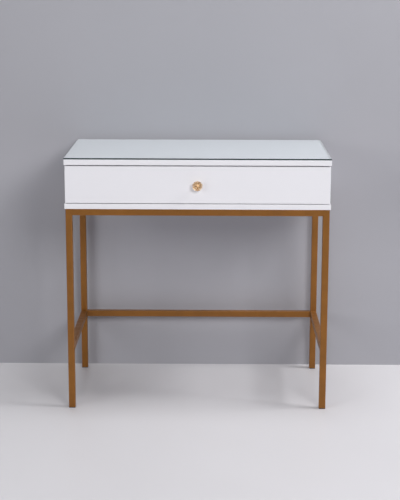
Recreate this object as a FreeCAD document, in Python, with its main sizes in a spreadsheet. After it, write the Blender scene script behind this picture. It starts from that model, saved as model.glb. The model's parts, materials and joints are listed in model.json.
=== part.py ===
"""Dressing table: a white lacquered case with one drawer on a slim frame of square steel tube.

Axes: +X to the right, +Y to the back, +Z up, millimetres. The origin is on the floor, under the centre of the
table's bounding box, so the drawer's knob counts in the depth. Every size is a cell of the spreadsheet, every
place is worked out from those cells, and each sub-part is one labelled object.
"""
import FreeCAD, Part
import math
import os
import re

import Sketcher
from FreeCAD import Rotation, Vector

# Driving sizes, in millimetres. Each one becomes a cell of the spreadsheet, with this name.
SIZES = {
    # boards of the case
    "width": 800.0,
    "depth": 450.0,
    "board": 16.0,
    "board_round": 1.0,
    "case_height": 117.0,
    "case_inset": 2.5,
    # steel frame
    "frame_top": 626.0,
    "frame_inset": 3.0,
    "tube": 20.0,
    "tube_wall": 1.5,
    "tube_round": 2.0,
    "stretcher_low": 180.5,
    "foot_lip": 2.0,
    "foot_stem": 15.0,
    "foot_slack": 0.2,
    "frame_bolt_spread": 150.0,
    "bolt_radius": 3.0,
    "bolt_head": 6.0,
    "bolt_head_rise": 3.3,
    "bolt_grip": 11.0,
    "bolt_socket": 2.3,
    "insert_radius": 4.5,
    "insert_length": 12.0,
    # glass on the top
    "pad_rise": 1.0,
    "pad_radius": 5.0,
    "pad_spread_x": 370.0,
    "pad_spread_y": 195.0,
    "glass": 4.0,
    "glass_round": 0.8,
    # drawer front and knob
    "front_width": 795.0,
    "front_height": 112.0,
    "front_gap": 2.0,
    "front_recess": 1.0,
    "front_clearance": 2.0,
    "bumper_radius": 4.0,
    "bumper_spread": 38.0,
    "knob_reach": 35.0,
    "knob_radius": 15.5,
    "knob_base_rise": 11.0,
    "knob_base_radius": 8.5,
    "knob_neck": 5.5,
    "knob_cup": 9.5,
    "knob_screw": 2.0,
    "knob_screw_grip": 7.0,
    # drawer box
    "drawer_board": 12.0,
    "drawer_round": 0.6,
    "drawer_height": 94.0,
    "drawer_length": 380.0,
    "bottom_sheet": 4.0,
    "groove_rise": 8.0,
    "groove_depth": 6.0,
    "groove_slack": 0.1,
    "back_screw_spread": 27.0,
    "bottom_screw_spread": 250.0,
    # ball-bearing runners
    "runner_width": 12.7,
    "runner_height": 45.0,
    "runner_length": 350.0,
    "runner_steel": 1.2,
    "runner_setback": 2.0,
    "ball_radius": 1.95,
    "ball_gap": 4.0,
    "ball_pitch": 16.0,
    "cage_start": 95.0,
    "cage_length": 160.0,
    "cage_sheet": 0.6,
    "web_gap": 1.6,
    "runner_lip": 0.7,
    # dowels, cams and screws
    "dowel_radius": 4.0,
    "dowel_in_edge": 20.0,
    "dowel_in_face": 10.0,
    "drill_slack": 0.5,
    "cam_reach": 24.0,
    "cam_radius": 7.5,
    "cam_depth": 12.5,
    "small_cam_radius": 6.0,
    "small_cam_depth": 9.5,
    "cam_pin": 2.5,
    "cam_pin_head": 3.0,
    "cam_pin_bore": 3.2,
    "cam_thread": 3.0,
    "case_dowel_spread": 170.0,
    "case_cam_spread": 110.0,
    "back_dowel_spread": 280.0,
    "back_cam_spread": 150.0,
    "drawer_dowel_spread": 26.0,
    "screw_radius": 1.75,
    "screw_head": 3.5,
    "screw_head_rise": 2.0,
    "case_screw_grip": 13.0,
    "drawer_screw_grip": 10.0,
    "back_screw_grip": 22.0,
}

# Places and lengths worked out from the sizes. Each one is written out in full wherever it is used.
PLACES = {
    "front_edge": "(knob_reach - depth) / 2",
    "back_edge": "front_edge + depth",
    "mid_depth": "knob_reach / 2",
    "case_floor": "frame_top + board",
    "case_ceiling": "case_floor + case_height",
    "top_surface": "case_ceiling + board",
    "glass_floor": "top_surface + pad_rise",
    "front_rear": "front_edge + front_recess + board",
    "drawer_axis": "case_floor + front_gap + front_height / 2",
    "side_front": "front_rear + front_clearance",
    "side_length": "case_rear - side_front",
    "side_middle": "(case_rear + side_front) / 2",
    "side_inner": "width / 2 - case_inset - board",
    "side_x": "side_inner + board / 2",
    "case_rear": "back_edge - case_inset",
    "back_y": "case_rear - board / 2",
    "leg_x": "width / 2 - frame_inset - tube / 2",
    "leg_front": "front_edge + frame_inset + tube / 2",
    "leg_back": "back_edge - frame_inset - tube / 2",
    "rail_middle": "(leg_front + leg_back) / 2",
    "rail_z": "frame_top - tube / 2",
    "stretcher_z": "stretcher_low + tube / 2",
    "drawer_half": "side_inner - runner_width",
    "drawer_side_x": "drawer_half - drawer_board / 2",
    "drawer_floor": "drawer_axis - drawer_height / 2",
    "drawer_middle": "front_rear + drawer_length / 2",
    "drawer_rear": "front_rear + drawer_length",
    "drawer_back_y": "drawer_rear - drawer_board / 2",
    "groove_floor": "drawer_floor + groove_rise",
    "groove_height": "bottom_sheet + 2 * groove_slack",
    "drawer_back_floor": "groove_floor + groove_height",
    "runner_front": "side_front + runner_setback",
}

# Directions, and the turns that bring a piece's own +Z to them.
RIGHT = Vector(1, 0, 0)
LEFT = Vector(-1, 0, 0)
FORWARD = Vector(0, -1, 0)
BACKWARD = Vector(0, 1, 0)
UP = Vector(0, 0, 1)
DOWN = Vector(0, 0, -1)

RUNNER_SCREWS = ("37", "165", "325")
RUNNER_BALLS = 10
CRYSTAL_SIDES = 10

doc = FreeCAD.newDocument("dressing_table")
sheet = doc.addObject("Spreadsheet::Sheet", "sizes")
parts = []


def fill_sheet():
    """Write each driving size into its own row, with its name as the cell's alias."""
    for row, (name, size) in enumerate(SIZES.items(), start=1):
        sheet.set(f"A{row}", name)
        sheet.set(f"B{row}", str(size))
        sheet.setAlias(f"B{row}", name)
    doc.recompute()


def written_out(expression):
    """The expression with sizes pointing at their cells and places written out from sizes."""

    def swap(word):
        name = word.group()
        if name in PLACES:
            return f"({written_out(PLACES[name])})"
        return f"sizes.{name}" if name in SIZES else name

    return re.sub(r"[a-z_]+", swap, expression)


def amount(expression):
    """The expression's value, in millimetres."""
    return float(sheet.evalExpression(written_out(expression)))


def bind(thing, setting, expression):
    """Tie one setting of an object to the spreadsheet."""
    thing.setExpression(setting, written_out(expression))


def place(thing, across, deep, high, turn=None):
    """Put an object at a place given by three expressions, turned or not."""
    if turn is not None:
        thing.Placement = FreeCAD.Placement(Vector(), turn)
    for axis, expression in zip("xyz", (across, deep, high)):
        bind(thing, f"Placement.Base.{axis}", expression)
    return thing


def facing(outward, side=None):
    """The turn that brings a piece's own +Z to outward and, where it is given, its own +Y to side."""
    if side is None:
        return Rotation(UP, outward)
    return Rotation(side.cross(outward), side, outward, "ZYX")


# ---- sketches ----

def new_body(label):
    """An empty body with the label that names the sub-part."""
    body = doc.addObject("PartDesign::Body", label)
    body.Label = label
    return body


def new_sketch(body, plane, level="0"):
    """A sketch on one of the body's own origin planes, moved along that plane's normal by level."""
    sketch = body.newObject("Sketcher::SketchObject", f"{body.Name}_sketch")
    support = next(item for item in body.Origin.OriginFeatures if item.Role == plane)
    sketch.AttachmentSupport = (support, [""])
    sketch.MapMode = "FlatFace"
    bind(sketch, "AttachmentOffset.Base.z", level)
    return sketch


def pin_point(sketch, edge, end, across, up):
    """Fix one end of a sketch's edge at two expressions, measured from the sketch's origin."""
    for kind, expression in (("DistanceX", across), ("DistanceY", up)):
        rule = Sketcher.Constraint(kind, -1, 1, edge, end, amount(expression))
        bind(sketch, f"Constraints[{sketch.addConstraint(rule)}]", expression)


def closed_outline(sketch, corners):
    """Draw straight edges through the corners, each a pair of expressions, and close them."""
    spots = [Vector(amount(across), amount(up), 0) for across, up in corners]
    edges = [
        sketch.addGeometry(Part.LineSegment(spot, spots[(index + 1) % len(spots)]), False)
        for index, spot in enumerate(spots)
    ]
    for index, edge in enumerate(edges):
        sketch.addConstraint(Sketcher.Constraint("Coincident", edge, 2, edges[(index + 1) % len(edges)], 1))
        pin_point(sketch, edge, 1, *corners[index])


def rounded_square(sketch, half, corner):
    """Draw a square about the sketch's origin, with half its width and its corner radius as expressions."""
    reach, radius = amount(half), amount(corner)
    flat = reach - radius
    lines, arcs = [], []
    for quarter in range(4):
        spin = Rotation(UP, 90 * quarter)
        start, finish = Vector(-flat, -reach, 0), Vector(flat, -reach, 0)
        lines.append(sketch.addGeometry(Part.LineSegment(spin.multVec(start), spin.multVec(finish)), False))
        circle = Part.Circle(spin.multVec(Vector(flat, -flat, 0)), UP, radius)
        first = math.radians(90 * quarter - 90)
        arcs.append(sketch.addGeometry(Part.ArcOfCircle(circle, first, first + math.pi / 2), False))
    for quarter in range(4):
        sketch.addConstraint(Sketcher.Constraint("Tangent", lines[quarter], 2, arcs[quarter], 1))
        sketch.addConstraint(Sketcher.Constraint("Tangent", arcs[quarter], 2, lines[(quarter + 1) % 4], 1))
        direction = "Horizontal" if quarter % 2 == 0 else "Vertical"
        sketch.addConstraint(Sketcher.Constraint(direction, lines[quarter]))
        if quarter:
            sketch.addConstraint(Sketcher.Constraint("Equal", arcs[0], arcs[quarter]))
    radius_rule = sketch.addConstraint(Sketcher.Constraint("Radius", arcs[0], radius))
    bind(sketch, f"Constraints[{radius_rule}]", corner)
    sides = (("DistanceY", -1), ("DistanceX", 1), ("DistanceY", 1), ("DistanceX", -1))
    for line, (kind, sign) in zip(lines, sides):
        rule = sketch.addConstraint(Sketcher.Constraint(kind, -1, 1, line, 1, sign * reach))
        bind(sketch, f"Constraints[{rule}]", f"{sign} * ({half})")


# ---- ways of making a piece ----

def pad(body, sketch, length):
    """Grow the sketch along its plane's normal."""
    feature = body.newObject("PartDesign::Pad", f"{body.Name}_pad")
    feature.Profile = sketch
    bind(feature, "Length", length)
    doc.recompute()
    return feature


def pocket(body, sketch, depth, along_normal=False):
    """Cut the sketch into the body, and make sure that it took something away."""
    before = body.Shape.Volume
    feature = body.newObject("PartDesign::Pocket", f"{body.Name}_pocket")
    feature.Profile = sketch
    feature.Reversed = along_normal
    bind(feature, "Length", depth)
    doc.recompute()
    if not body.Shape.Volume < before - 0.01:
        raise RuntimeError(f"{body.Label}: a pocket cuts nothing")
    return feature


def block(label, across, deep, high, corner=None):
    """A block standing on the XY plane, centred on its own Z axis, its arrises rounded if corner is given."""
    body = new_body(label)
    sketch = new_sketch(body, "XY_Plane")
    half_x, half_y = f"({across}) / 2", f"({deep}) / 2"
    corners = [(f"-{half_x}", f"-{half_y}"), (half_x, f"-{half_y}"), (half_x, half_y), (f"-{half_x}", half_y)]
    closed_outline(sketch, corners)
    slab = pad(body, sketch, high)
    if corner is not None:
        rounding = body.newObject("PartDesign::Fillet", f"{label}_rounding")
        rounding.Base = (slab, [""])
        rounding.UseAllEdges = True
        bind(rounding, "Radius", corner)
        doc.recompute()
    return body


def turned(label, outline):
    """A piece turned about its own Z axis from corners given as radius and height."""
    body = new_body(label)
    sketch = new_sketch(body, "XZ_Plane")
    closed_outline(sketch, outline)
    spin = body.newObject("PartDesign::Revolution", f"{label}_spin")
    spin.Profile = sketch
    spin.ReferenceAxis = (sketch, ["V_Axis"])
    spin.Angle = 360.0
    doc.recompute()
    return body


def rod(label, radius, low, high):
    """A plain round rod along its own Z axis."""
    return turned(label, [("0", low), (radius, low), (radius, high), ("0", high)])


def recess(body, level, corners, depth):
    """Sink a driver's recess into the top of a turned piece."""
    sketch = new_sketch(body, "XY_Plane", level)
    closed_outline(sketch, corners)
    pocket(body, sketch, depth)
    return body


def hexagon(reach):
    """The corners of a hexagonal socket, reach from its centre."""
    return [
        (f"({reach}) * cos({60 * side})", f"({reach}) * sin({60 * side})")
        for side in range(6)
    ]


def cross(reach, half):
    """The corners of a cross recess with arms that reach from its centre and are twice half wide."""
    arm = [(reach, f"-({half})"), (reach, half), (half, half)]
    corners = []
    for _ in range(4):
        corners += arm
        arm = [(f"-({up})", across) for across, up in arm]
    return corners


def copies(label, source, places):
    """A group of separate solids: the same piece at each place, given as x, y, z and a turn."""
    links = []
    for across, deep, high, turn in places:
        link = doc.addObject("App::Link", f"{label}_copy")
        link.LinkedObject = source
        links.append(place(link, across, deep, high, turn))
    group = doc.addObject("Part::Compound", label)
    group.Links = links
    doc.recompute()
    return group


def fused(label, pieces):
    """One shape made of all the pieces, used as a drill."""
    union = doc.addObject("Part::MultiFuse", label)
    union.Shapes = pieces
    doc.recompute()
    return union


def cut(label, base, drill):
    """The base with everything that the drill reaches taken away."""
    before = base.Shape.Volume
    result = doc.addObject("Part::Cut", label)
    result.Base = base
    result.Tool = drill
    doc.recompute()
    if not result.Shape.Volume < before - 0.01:
        raise RuntimeError(f"{label}: the drill cuts nothing")
    return result


def keep(label, thing):
    """Hand a finished sub-part in under its node's name."""
    thing.Label = label
    parts.append(thing)
    return thing


# ---- steel frame ----

def square_tube(label, plane, length):
    """A length of square tube, centred on its body's origin, along the plane's normal."""
    body = new_body(label)
    sketch = new_sketch(body, plane, f"-({length}) / 2")
    rounded_square(sketch, "tube / 2", "tube_round")
    rounded_square(sketch, "tube / 2 - tube_wall", "tube_round - tube_wall")
    pad(body, sketch, length)
    return body


def make_legs():
    """The four legs, from the foot plug's lip up to the case."""
    legs = []
    for end, deep in (("front", "leg_front"), ("back", "leg_back")):
        for side, sign in (("left", "-"), ("right", "")):
            name = f"{end}_{side}_leg"
            leg = square_tube(name, "XY_Plane", "frame_top - foot_lip")
            place(leg, f"{sign}leg_x", deep, "(frame_top + foot_lip) / 2")
            legs.append(keep(name, leg))
    return legs


def make_rails(legs, bolt_drill):
    """The rails and stretchers, their ends coped into the round of the legs' corners and welded there."""
    posts = doc.addObject("Part::Compound", "posts")
    posts.Links = legs
    wide = "2 * leg_x - tube + 2 * tube_wall"
    deep = "leg_back - leg_front - tube + 2 * tube_wall"
    wide_runs = [
        ("front_top_rail", "leg_front", "rail_z"),
        ("back_top_rail", "leg_back", "rail_z"),
        ("back_stretcher", "leg_back", "stretcher_z"),
    ]
    deep_runs = [
        ("left_top_rail", "-leg_x", "rail_z"),
        ("right_top_rail", "leg_x", "rail_z"),
        ("left_stretcher", "-leg_x", "stretcher_z"),
        ("right_stretcher", "leg_x", "stretcher_z"),
    ]
    wide_rails = []
    for name, y, z in wide_runs:
        tube = place(square_tube(f"{name}_tube", "YZ_Plane", wide), "0", y, z)
        wide_rails.append(keep(name, cut(name, tube, posts)))
    drill = fused("deep_rail_drill", [posts, *wide_rails, bolt_drill])
    for name, x, z in deep_runs:
        tube = place(square_tube(f"{name}_tube", "XZ_Plane", deep), x, "rail_middle", z)
        keep(name, cut(name, tube, drill))


def make_feet():
    """A plug pressed into each leg: a lip that stands on the floor and a stem inside the tube."""
    for end, deep in (("front", "leg_front"), ("back", "leg_back")):
        for side, sign in (("left", "-"), ("right", "")):
            name = f"{end}_{side}_foot"
            foot = new_body(name)
            lip = new_sketch(foot, "XY_Plane")
            rounded_square(lip, "tube / 2", "tube_round")
            pad(foot, lip, "foot_lip")
            stem = new_sketch(foot, "XY_Plane")
            rounded_square(stem, "tube / 2 - tube_wall - foot_slack", "tube_round - tube_wall")
            pad(foot, stem, "foot_lip + foot_stem")
            hollow = new_sketch(foot, "XY_Plane", "foot_lip + foot_stem")
            rounded_square(hollow, "tube / 2 - 2 * tube_wall - foot_slack", "tube_round - tube_wall")
            pocket(foot, hollow, "foot_stem")
            keep(name, place(foot, f"{sign}leg_x", deep, "0"))


def frame_bolt_spots(high):
    """Three bolts along each side rail, at one height."""
    return [
        (x, f"rail_middle + {step} * frame_bolt_spread", high, facing(DOWN))
        for x in ("-leg_x", "leg_x")
        for step in (-1, 0, 1)
    ]


def make_frame_fixings():
    """Button-head bolts up through the side rails, and the threaded inserts that they turn into."""
    bolt = turned("frame_bolt", [
        ("0", "-tube - bolt_grip"),
        ("bolt_radius - 0.5", "-tube - bolt_grip"),
        ("bolt_radius", "0.5 - tube - bolt_grip"),
        ("bolt_radius", "0"),
        ("bolt_head", "0"),
        ("bolt_head", "0.3 * bolt_head_rise"),
        ("0.75 * bolt_head", "0.85 * bolt_head_rise"),
        ("0.5 * bolt_head", "bolt_head_rise"),
        ("0", "bolt_head_rise"),
    ])
    recess(bolt, "bolt_head_rise", hexagon("bolt_socket"), "0.6 * bolt_head_rise")
    keep("frame_bolts", copies("frame_bolts", bolt, frame_bolt_spots("frame_top - tube")))
    insert = turned("threaded_insert", [
        ("bolt_radius", "-insert_length"),
        ("insert_radius - 0.4", "-insert_length"),
        ("insert_radius", "0.4 - insert_length"),
        ("insert_radius", "0"),
        ("bolt_radius", "0"),
    ])
    keep("threaded_inserts", copies("threaded_inserts", insert, frame_bolt_spots("frame_top")))
    clearance = rod("bolt_clearance", "bolt_radius + 0.3", "-tube - 1", "1")
    return copies("bolt_drill", clearance, frame_bolt_spots("frame_top - tube"))


# ---- case ----

def side_panel_points(spread):
    """Two points along each side panel's edge, spread about its middle."""
    return [(x, f"side_middle + {step} * {spread}") for x in ("-side_x", "side_x") for step in (-1, 1)]


def case_joints(points):
    """Each point at both joints of the case: under the top board, and turned over on the bottom board."""
    upper = [(x, y, "case_ceiling", facing(UP)) for x, y in points]
    lower = [(x, y, "case_floor", facing(DOWN)) for x, y in points]
    return upper + lower


def case_cams():
    """Where the case's cams sit, with each one's slot towards the edge that its pin comes through."""
    spots = []
    for high, edge in (("case_ceiling - cam_reach", UP), ("case_floor + cam_reach", DOWN)):
        for sign, inward in (("-", RIGHT), ("", LEFT)):
            for step in (-1, 1):
                y = f"side_middle + {step} * case_cam_spread"
                spots.append((f"{sign}side_inner", y, high, facing(inward, edge)))
        for sign in ("-", ""):
            spots.append((f"{sign}back_cam_spread", "case_rear - board", high, facing(FORWARD, edge)))
    return spots


def dowel(label, slack="0"):
    """A fluted dowel's solid, its edge end down, or the hole for it where slack is given."""
    low, high = f"-dowel_in_edge - {slack}", f"dowel_in_face + {slack}"
    taper = "0.8"
    return turned(label, [
        ("0", low),
        (f"dowel_radius - {taper}", low),
        ("dowel_radius", f"{low} + {taper}"),
        ("dowel_radius", f"{high} - {taper}"),
        (f"dowel_radius - {taper}", high),
        ("0", high),
    ])


def cam_pin(label):
    """The steel pin between a board and a cam: thread in the face, collar, shank, and a head in the cam."""
    return turned(label, [
        ("0", "-cam_reach - 1.5"),
        ("cam_pin_head", "-cam_reach - 1.5"),
        ("cam_pin_head", "-cam_reach"),
        ("0.5 * cam_pin", "-cam_reach"),
        ("0.5 * cam_pin", "4 - cam_reach"),
        ("cam_pin", "6 - cam_reach"),
        ("cam_pin", "0"),
        ("cam_thread", "0"),
        ("cam_thread", "dowel_in_face - 0.5"),
        ("cam_thread - 0.5", "dowel_in_face"),
        ("0", "dowel_in_face"),
    ])


def cam_lock(label, radius, depth, pin_depth):
    """A cam's round body, face up, with the slot for its pin's head towards its own +Y and a cross recess."""
    cam = rod(label, radius, f"-({depth})", "0")
    slot = new_sketch(cam, "XZ_Plane", f"-({radius})")
    low, high = f"-({pin_depth}) - cam_pin_bore", f"cam_pin_bore - ({pin_depth})"
    closed_outline(slot, [
        ("-cam_pin_bore", low),
        ("cam_pin_bore", low),
        ("cam_pin_bore", high),
        ("-cam_pin_bore", high),
    ])
    pocket(cam, slot, f"{radius} + 2", along_normal=True)
    return recess(cam, "0", cross("0.45 * cam_radius", "0.6"), "1.5")


def pin_bore(label):
    """The drill for a cam's pin: a wide hole in the edge and a thread-sized one in the face."""
    return turned(label, [
        ("0", "-cam_reach"),
        ("cam_pin_bore", "-cam_reach"),
        ("cam_pin_bore", "0"),
        ("cam_thread", "0"),
        ("cam_thread", "dowel_in_face + drill_slack"),
        ("0", "dowel_in_face + drill_slack"),
    ])


def runner_screw_spots(distance, outward_sign):
    """Three screws through each runner member, at a distance from the middle of the table."""
    spots = []
    for sign, inward in (("-", RIGHT), ("", LEFT)):
        outward = inward if outward_sign > 0 else inward * -1
        for step in RUNNER_SCREWS:
            spots.append((f"{sign}({distance})", f"runner_front + {step}", "drawer_axis", facing(outward)))
    return spots


def make_case_fixings():
    """Dowels, cams and cam pins of the case. Returns the drill for all the case's holes."""
    dowel_points = side_panel_points("case_dowel_spread")
    dowel_points += [(f"{step} * back_dowel_spread", "back_y") for step in (-1, 0, 1)]
    pin_points = side_panel_points("case_cam_spread")
    pin_points += [(f"{step} * back_cam_spread", "back_y") for step in (-1, 1)]
    keep("case_dowels", copies("case_dowels", dowel("case_dowel"), case_joints(dowel_points)))
    keep("case_cam_bolts", copies("case_cam_bolts", cam_pin("case_cam_bolt"), case_joints(pin_points)))
    cam = cam_lock("case_cam_lock", "cam_radius", "cam_depth", "board / 2")
    keep("case_cam_locks", copies("case_cam_locks", cam, case_cams()))
    cam_hole = rod("case_cam_hole", "cam_radius", "-cam_depth - 0.2", "1")
    insert_hole = rod("insert_hole", "insert_radius", "-insert_length - drill_slack", "1")
    screw_hole = rod("case_screw_hole", "screw_radius", "-case_screw_grip - drill_slack", "1")
    return fused("case_drill", [
        copies("case_dowel_holes", dowel("case_dowel_hole", "drill_slack"), case_joints(dowel_points)),
        copies("case_pin_bores", pin_bore("case_pin_bore"), case_joints(pin_points)),
        copies("case_cam_holes", cam_hole, case_cams()),
        copies("insert_holes", insert_hole, frame_bolt_spots("frame_top")),
        copies("case_screw_holes", screw_hole, runner_screw_spots("side_inner", 1)),
    ])


def make_case(drill):
    """The five boards of the case."""
    side = ("board", "side_length", "case_height")
    back = ("2 * side_inner", "board", "case_height")
    boards = [
        ("bottom_panel", ("width", "depth", "board"), ("0", "mid_depth", "frame_top")),
        ("top_panel", ("width", "depth", "board"), ("0", "mid_depth", "case_ceiling")),
        ("left_side_panel", side, ("-side_x", "side_middle", "case_floor")),
        ("right_side_panel", side, ("side_x", "side_middle", "case_floor")),
        ("back_panel", back, ("0", "back_y", "case_floor")),
    ]
    for name, size, spot in boards:
        board = place(block(f"{name}_board", *size, "board_round"), *spot)
        keep(name, cut(name, board, drill))


def make_bumpers():
    """Soft dots on the side panels' front edges, where the drawer front lands."""
    dot = turned("front_bumper", [
        ("0", "0"),
        ("bumper_radius", "0"),
        ("bumper_radius", "0.5 * front_clearance"),
        ("0.5 * bumper_radius", "0.95 * front_clearance"),
        ("0", "0.95 * front_clearance"),
    ])
    spots = [
        (x, "side_front", f"drawer_axis + {step} * bumper_spread", facing(FORWARD))
        for x in ("-side_x", "side_x")
        for step in (-1, 1)
    ]
    keep("front_bumpers", copies("front_bumpers", dot, spots))


def make_glass():
    """The glass sheet, as wide and deep as the top board, and the clear dots that it lies on."""
    sheet_body = new_body("glass_top")
    outline = new_sketch(sheet_body, "XY_Plane")
    half_x, half_y = "width / 2", "depth / 2"
    corners = [(f"-{half_x}", f"-{half_y}"), (half_x, f"-{half_y}"), (half_x, half_y), (f"-{half_x}", half_y)]
    closed_outline(outline, corners)
    slab = pad(sheet_body, outline, "glass")
    arris = sheet_body.newObject("PartDesign::Chamfer", "glass_arris")
    arris.Base = (slab, [""])
    arris.UseAllEdges = True
    bind(arris, "Size", "glass_round / 2")
    keep("glass_top", place(sheet_body, "0", "mid_depth", "glass_floor"))
    dot = rod("glass_pad", "pad_radius", "0", "pad_rise")
    spots = [
        (f"{across} * pad_spread_x", f"mid_depth + {deep} * pad_spread_y", "top_surface", facing(UP))
        for across in (-1, 0, 1)
        for deep in (-1, 1)
    ]
    keep("glass_pads", copies("glass_pads", dot, spots))


# ---- drawer ----

def screw(label, grip, radius="screw_radius"):
    """A pan-head screw: head up, its bearing face at its own origin."""
    body = turned(label, [
        ("0", f"-({grip})"),
        (f"0.3 * {radius}", f"-({grip})"),
        (radius, f"2 * {radius} - ({grip})"),
        (radius, "0"),
        ("screw_head", "0"),
        ("screw_head", "0.5 * screw_head_rise"),
        ("0.6 * screw_head", "screw_head_rise"),
        ("0", "screw_head_rise"),
    ])
    return recess(body, "screw_head_rise", cross("0.5 * screw_head", "0.4"), "0.5 * screw_head_rise")


def flat_screw(label, grip):
    """A countersunk screw without its recess: its flat face at its origin, its head as deep as the steel."""
    return turned(label, [
        ("0", f"-runner_steel - ({grip})"),
        ("0.3 * screw_radius", f"-runner_steel - ({grip})"),
        ("screw_radius", f"2 * screw_radius - runner_steel - ({grip})"),
        ("screw_radius", "-runner_steel"),
        ("screw_radius + runner_steel", "0"),
        ("0", "0"),
    ])


def drawer_ends(high):
    """One point on each drawer side's front end, at a height, facing the drawer front."""
    return [(x, "front_rear", high, facing(FORWARD)) for x in ("-drawer_side_x", "drawer_side_x")]


def drawer_back_spots():
    """Two screws through each drawer side into the drawer back."""
    spots = []
    for sign, outward in (("-", LEFT), ("", RIGHT)):
        for step in (-1, 1):
            high = f"drawer_axis + {step} * back_screw_spread"
            spots.append((f"{sign}drawer_half", "drawer_back_y", high, facing(outward)))
    return spots


def drawer_bottom_spots():
    """Three screws up through the bottom sheet into the drawer back."""
    high = "groove_floor + groove_slack"
    return [(f"{step} * bottom_screw_spread", "drawer_back_y", high, facing(DOWN)) for step in (-1, 0, 1)]


def make_drawer_fixings():
    """Dowels, cams, pins and screws of the drawer. Returns the drill for all the drawer's holes."""
    dowel_spots = []
    for step in (-1, 1):
        dowel_spots += drawer_ends(f"drawer_axis + {step} * drawer_dowel_spread")
    pin_spots = drawer_ends("drawer_axis")
    inner = "drawer_half - drawer_board"
    cam_spots = [
        (f"{sign}({inner})", "front_rear + cam_reach", "drawer_axis", facing(inward, FORWARD))
        for sign, inward in (("-", RIGHT), ("", LEFT))
    ]
    keep("drawer_dowels", copies("drawer_dowels", dowel("drawer_dowel"), dowel_spots))
    keep("drawer_cam_bolts", copies("drawer_cam_bolts", cam_pin("drawer_cam_bolt"), pin_spots))
    cam = cam_lock("drawer_cam_lock", "small_cam_radius", "small_cam_depth", "drawer_board / 2")
    keep("drawer_cam_locks", copies("drawer_cam_locks", cam, cam_spots))
    back_screw = screw("drawer_back_screw", "back_screw_grip")
    keep("drawer_back_screws", copies("drawer_back_screws", back_screw, drawer_back_spots()))
    bottom_screw = screw("drawer_bottom_screw", "back_screw_grip")
    keep("drawer_bottom_screws", copies("drawer_bottom_screws", bottom_screw, drawer_bottom_spots()))
    cam_hole = rod("drawer_cam_hole", "small_cam_radius", "-small_cam_depth - 0.2", "1")
    long_hole = rod("back_screw_hole", "screw_radius", "-back_screw_grip - drill_slack", "1")
    short_hole = rod("drawer_screw_hole", "screw_radius", "-drawer_screw_grip - drill_slack", "1")
    knob_hole = rod("knob_hole", "knob_screw + 0.2", "-1", "board + 1")
    groove = block("bottom_groove", "2 * (drawer_half - drawer_board + groove_depth)",
                   "drawer_length + groove_depth + 1", "groove_height")
    place(groove, "0", "drawer_middle + (1 - groove_depth) / 2", "groove_floor")
    return fused("drawer_drill", [
        copies("drawer_dowel_holes", dowel("drawer_dowel_hole", "drill_slack"), dowel_spots),
        copies("drawer_pin_bores", pin_bore("drawer_pin_bore"), pin_spots),
        copies("drawer_cam_holes", cam_hole, cam_spots),
        copies("back_screw_holes", long_hole, drawer_back_spots()),
        copies("drawer_screw_holes", short_hole, runner_screw_spots("drawer_half", -1)),
        copies("knob_holes", knob_hole, [("0", "front_rear", "drawer_axis", facing(FORWARD))]),
        groove,
    ])


def make_drawer(drill):
    """The drawer's front, sides, back and bottom sheet."""
    front = block("drawer_front_board", "front_width", "board", "front_height", "board_round")
    place(front, "0", "front_rear - board / 2", "case_floor + front_gap")
    keep("drawer_front", cut("drawer_front", front, drill))
    for side, sign in (("left", "-"), ("right", "")):
        name = f"drawer_{side}_side"
        board = block(f"{name}_board", "drawer_board", "drawer_length", "drawer_height", "drawer_round")
        place(board, f"{sign}drawer_side_x", "drawer_middle", "drawer_floor")
        keep(name, cut(name, board, drill))
    bottom_hole = rod("bottom_screw_hole", "screw_radius", "-back_screw_grip - drill_slack", "1")
    bottom_holes = copies("bottom_screw_holes", bottom_hole, drawer_bottom_spots())
    back = block("drawer_back_board", "2 * (drawer_half - drawer_board)", "drawer_board",
                 "drawer_floor + drawer_height - drawer_back_floor", "drawer_round")
    place(back, "0", "drawer_back_y", "drawer_back_floor")
    keep("drawer_back", cut("drawer_back", back, fused("drawer_back_drill", [drill, bottom_holes])))
    sheet_width = "2 * (drawer_half - drawer_board + groove_depth - 0.5)"
    bottom = block("drawer_bottom_sheet", sheet_width, "drawer_length + groove_depth - 0.5", "bottom_sheet")
    place(bottom, "0", "drawer_middle + (0.5 - groove_depth) / 2", "groove_floor + groove_slack")
    keep("drawer_bottom", cut("drawer_bottom", bottom, bottom_holes))


def crystal_shape():
    """The knob's faceted head, along its own +Z: a flat back, a girdle, and a crown that steps in to a table.

    Each ring of corners is turned half a facet from the one below it, so that every facet between two rings
    is a flat triangle. The girdle is a straight band.
    """
    girdle = amount("knob_radius")
    head = amount("knob_reach + front_recess - knob_base_rise")
    half_facet = math.pi / CRYSTAL_SIDES
    rings = [
        (amount("knob_cup"), 0.0, 0.0),
        (girdle, 0.36 * head, half_facet),
        (girdle, 0.46 * head, half_facet),
        (0.80 * girdle, 0.76 * head, 0.0),
        (0.48 * girdle, head, half_facet),
    ]
    corners = [
        [
            Vector(radius * math.cos(phase + 2 * half_facet * side),
                   radius * math.sin(phase + 2 * half_facet * side), height)
            for side in range(CRYSTAL_SIDES)
        ]
        for radius, height, phase in rings
    ]
    facets = [corners[0][::-1], corners[-1]]
    for lower, upper, (_, _, low_phase), (_, _, high_phase) in zip(corners, corners[1:], rings, rings[1:]):
        for side in range(CRYSTAL_SIDES):
            after = (side + 1) % CRYSTAL_SIDES
            if low_phase == high_phase:
                facets.append([lower[side], lower[after], upper[after], upper[side]])
            elif low_phase < high_phase:
                facets.append([lower[side], lower[after], upper[side]])
                facets.append([lower[after], upper[after], upper[side]])
            else:
                facets.append([lower[side], upper[after], upper[side]])
                facets.append([lower[side], lower[after], upper[after]])
    faces = [Part.Face(Part.makePolygon(facet + facet[:1])) for facet in facets]
    solid = Part.Solid(Part.makeShell(faces))
    if solid.Volume < 0:
        solid.reverse()
    return solid


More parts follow.
